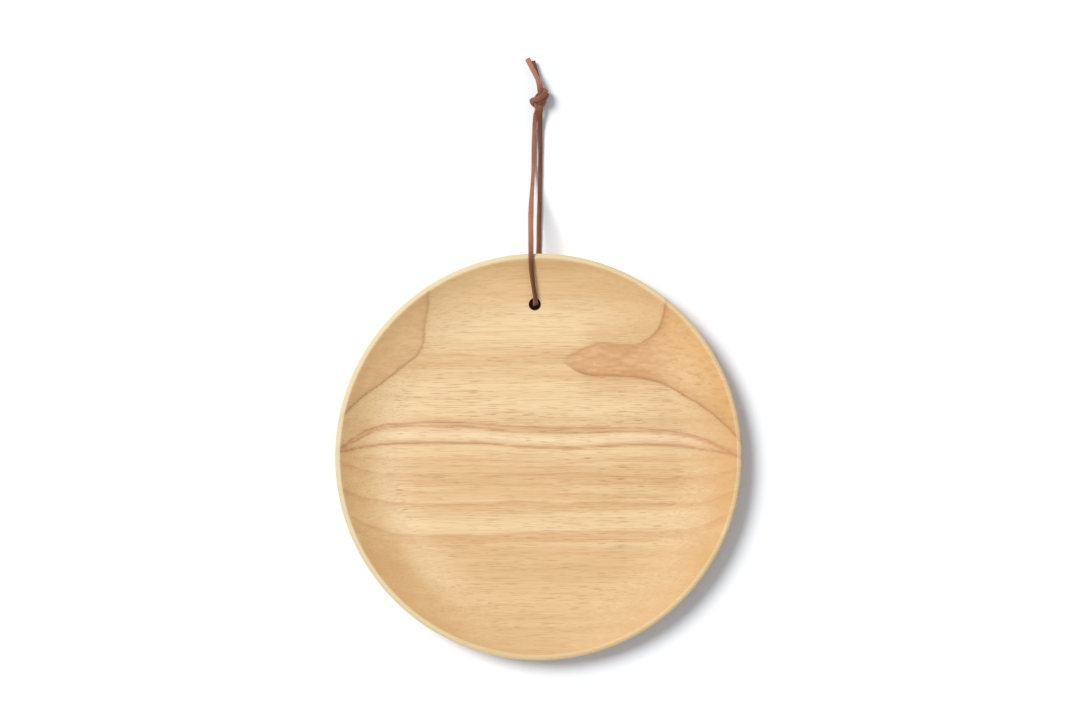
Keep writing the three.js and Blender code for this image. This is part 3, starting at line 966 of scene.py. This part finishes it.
def wood_finish():
    finish = Finish("oiled_wood")
    wood_at = WoodPlace(finish)
    fibres = wood_at.noise(34, 0.7, 3, 0.6)
    tongue, corner, edge_lines = smoother_wood(wood_at)
    dashes, streaks = pore_marks(wood_at, tongue.at_least(corner))
    colour = ground_tone(wood_at, tongue, corner, fibres)
    colour = end_grain_and_painted_light(wood_at, colour)
    colour = growth_lines(wood_at, colour)
    colour = finish.mix(colour, EDGE_BROWN, edge_lines * 0.75)
    colour = finish.mix(colour, PORE_BROWN, (dashes * 0.72).at_least(streaks * 0.5))
    colour = rim_and_hole(wood_at, colour)
    height = (dashes + streaks) * -0.5 + fibres * 0.25
    bump = finish.node("ShaderNodeBump", None, {"Strength": 0.08, "Distance": 0.0002, "Height": height})
    finish.set(Base_Color=colour, Roughness=fibres.ramp(0.3, 0.7, 0.5, 0.62), Normal=bump)
    finish.set(Specular_IOR_Level=0.2)
    return finish.material


wood = wood_finish()
print("wood nodes:", len(wood.node_tree.nodes))

# %% [markdown]
# The hole is drilled after turning, as on the real board, and its mouths are eased so that they don't cut
# the lace. A turned drill shape is taken away from the blank with a Boolean modifier, which is applied at
# once.

# %% Turn the board and drill its hole
HOLE_RADIUS = 3.0
HOLE_EASE = 0.6
ROUND_STEPS = 192
DRILL_STEPS = 48
EASE_STEPS = 6
BOARD_CREASE = math.radians(20)


def drill_outline():
    under_radius, _ = rising_arc((FOOT_RADIUS, 0), (BOARD_RADIUS, BOARD_HEIGHT - RIM_EDGE))
    hollow_radius, _ = rising_arc((FLOOR_RADIUS, FLOOR_THICKNESS), (BOARD_RADIUS - RIM_LAND, BOARD_HEIGHT))
    low = under_radius - math.sqrt(under_radius**2 - (HOLE_PLACE - FOOT_RADIUS) ** 2)
    high = FLOOR_THICKNESS + hollow_radius - math.sqrt(hollow_radius**2 - (HOLE_PLACE - FLOOR_RADIUS) ** 2)
    reach = 2 * HOLE_RADIUS
    ease = np.linspace(0, 1, EASE_STEPS)
    lower = [(HOLE_RADIUS + HOLE_EASE * (1 - t) ** 2, low - HOLE_EASE + 2 * HOLE_EASE * t) for t in ease]
    upper = [(r, high + low - z) for r, z in reversed(lower)]
    wide = HOLE_RADIUS + HOLE_EASE
    tip = [(0, low - reach), (wide, low - reach)]
    shank = [(wide, high + reach), (0, high + reach)]
    return [*tip, *lower, *upper, *shank]


def make_board():
    board = turn("turned_board", outline, ROUND_STEPS, wood)
    drill = turn("drill", drill_outline(), DRILL_STEPS, wood)
    drill.data.transform(Matrix.Translation((0, HOLE_PLACE * MM, 0)))
    cut = board.modifiers.new("drilled", "BOOLEAN")
    cut.operation = "DIFFERENCE"
    cut.solver = "EXACT"
    cut.object = drill
    graph = bpy.context.evaluated_depsgraph_get()
    drilled = bpy.data.meshes.new_from_object(board.evaluated_get(graph), depsgraph=graph)
    board.modifiers.remove(cut)
    board.data = drilled
    bpy.data.objects.remove(drill)
    drilled.shade_smooth()
    drilled.set_sharp_from_angle(angle=BOARD_CREASE)
    return board


board = make_board()
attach(board, "board")
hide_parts("board")
print("board faces:", len(board.data.polygons))

# %% [markdown]
# The picture is a flat lay on pure white, lit softly from the upper left: the shadow falls to the lower
# right, short and with a wide soft edge. A sun with a broad disc gives that edge at any size of floor.
# The sky is a touch blue and the sun a touch warm, so the lit floor is white and its shadow a neutral
# grey. Only under the board, where it isn't seen, is the floor painted dark: painted shade, so that the
# hole looks as deep as it does on a table.

# %% Floor and light
FLOOR_SIZE = 6.0
FLOOR_LEVEL = -0.1 * MM  # a hair under the foot, so that the two faces don't coincide
SUN_HEIGHT = math.radians(54)
SUN_FROM = (-0.83, 0.556)  # towards the light, seen in the picture
SUN_DISC = math.radians(23)
SUN_STRENGTH = 2.63
SUN_COLOUR = (1.0, 0.985, 0.97)
SKY_STRENGTH = 0.43
SKY_COLOUR = (0.955, 0.99, 1.04, 1.0)
SKY_SEEN = 1.06  # strength where the camera looks past the floor: plain white
UNDER_BOARD = (0.085, 0.102)  # the floor is dark up to here, and white from there on
FLOOR_WHITE = (0.93, 0.955, 0.985, 1.0)
# painted shade under the board
FLOOR_SHADE_PAINT = (0.16, 0.12, 0.09, 1.0)


def floor_finish():
    finish = Finish("white_floor")
    place = finish.node("ShaderNodeTexCoord", None, None, "Object")
    from_middle = finish.node("ShaderNodeVectorMath", {"operation": "LENGTH"}, {0: place}, "Value")
    # painted shade: the floor goes dark under the board
    under = from_middle.ramp(UNDER_BOARD[1], UNDER_BOARD[0])
    colour = finish.mix(FLOOR_WHITE, FLOOR_SHADE_PAINT, under)
    finish.set(Base_Color=colour, Roughness=1.0, Specular_IOR_Level=0.0)
    return finish.material


floor_mesh = bpy.data.meshes.new("floor")
half = FLOOR_SIZE / 2
corners = [(x, y, FLOOR_LEVEL) for x, y in ((-half, -half), (half, -half), (half, half), (-half, half))]
floor_mesh.from_pydata(corners, [], [(0, 1, 2, 3)])
floor_mesh.materials.append(floor_finish())
floor = bpy.data.objects.new("floor", floor_mesh)
bpy.context.collection.objects.link(floor)

sun_data = bpy.data.lights.new("window_light", "SUN")
sun_data.energy = SUN_STRENGTH
sun_data.color = SUN_COLOUR
sun_data.angle = SUN_DISC
sun = bpy.data.objects.new("window_light", sun_data)
turn_back = -PICTURE_TURN
flat_x = SUN_FROM[0] * math.cos(turn_back) - SUN_FROM[1] * math.sin(turn_back)
flat_y = SUN_FROM[0] * math.sin(turn_back) + SUN_FROM[1] * math.cos(turn_back)
towards = Vector((flat_x * math.cos(SUN_HEIGHT), flat_y * math.cos(SUN_HEIGHT), math.sin(SUN_HEIGHT)))
sun.rotation_euler = towards.to_track_quat("Z", "Y").to_euler()
bpy.context.collection.objects.link(sun)

world = bpy.data.worlds.new("white_room")
world.use_nodes = True
sky = world.node_tree.nodes["Background"]
sky.inputs["Color"].default_value = SKY_COLOUR
rays = world.node_tree.nodes.new("ShaderNodeLightPath")
seen = rays.outputs["Is Camera Ray"]
for kind in ("Is Glossy Ray", "Is Transmission Ray"):
    either = world.node_tree.nodes.new("ShaderNodeMath")
    either.operation = "MAXIMUM"
    world.node_tree.links.new(seen, either.inputs[0])
    world.node_tree.links.new(rays.outputs[kind], either.inputs[1])
    seen = either.outputs[0]
level = world.node_tree.nodes.new("ShaderNodeMapRange")
level.inputs["To Min"].default_value = SKY_STRENGTH
level.inputs["To Max"].default_value = SKY_SEEN
world.node_tree.links.new(seen, level.inputs["Value"])
world.node_tree.links.new(level.outputs[0], sky.inputs["Strength"])
bpy.context.scene.world = world
bpy.context.scene.view_settings.view_transform = "Standard"
print("sun from", [round(v, 2) for v in towards])
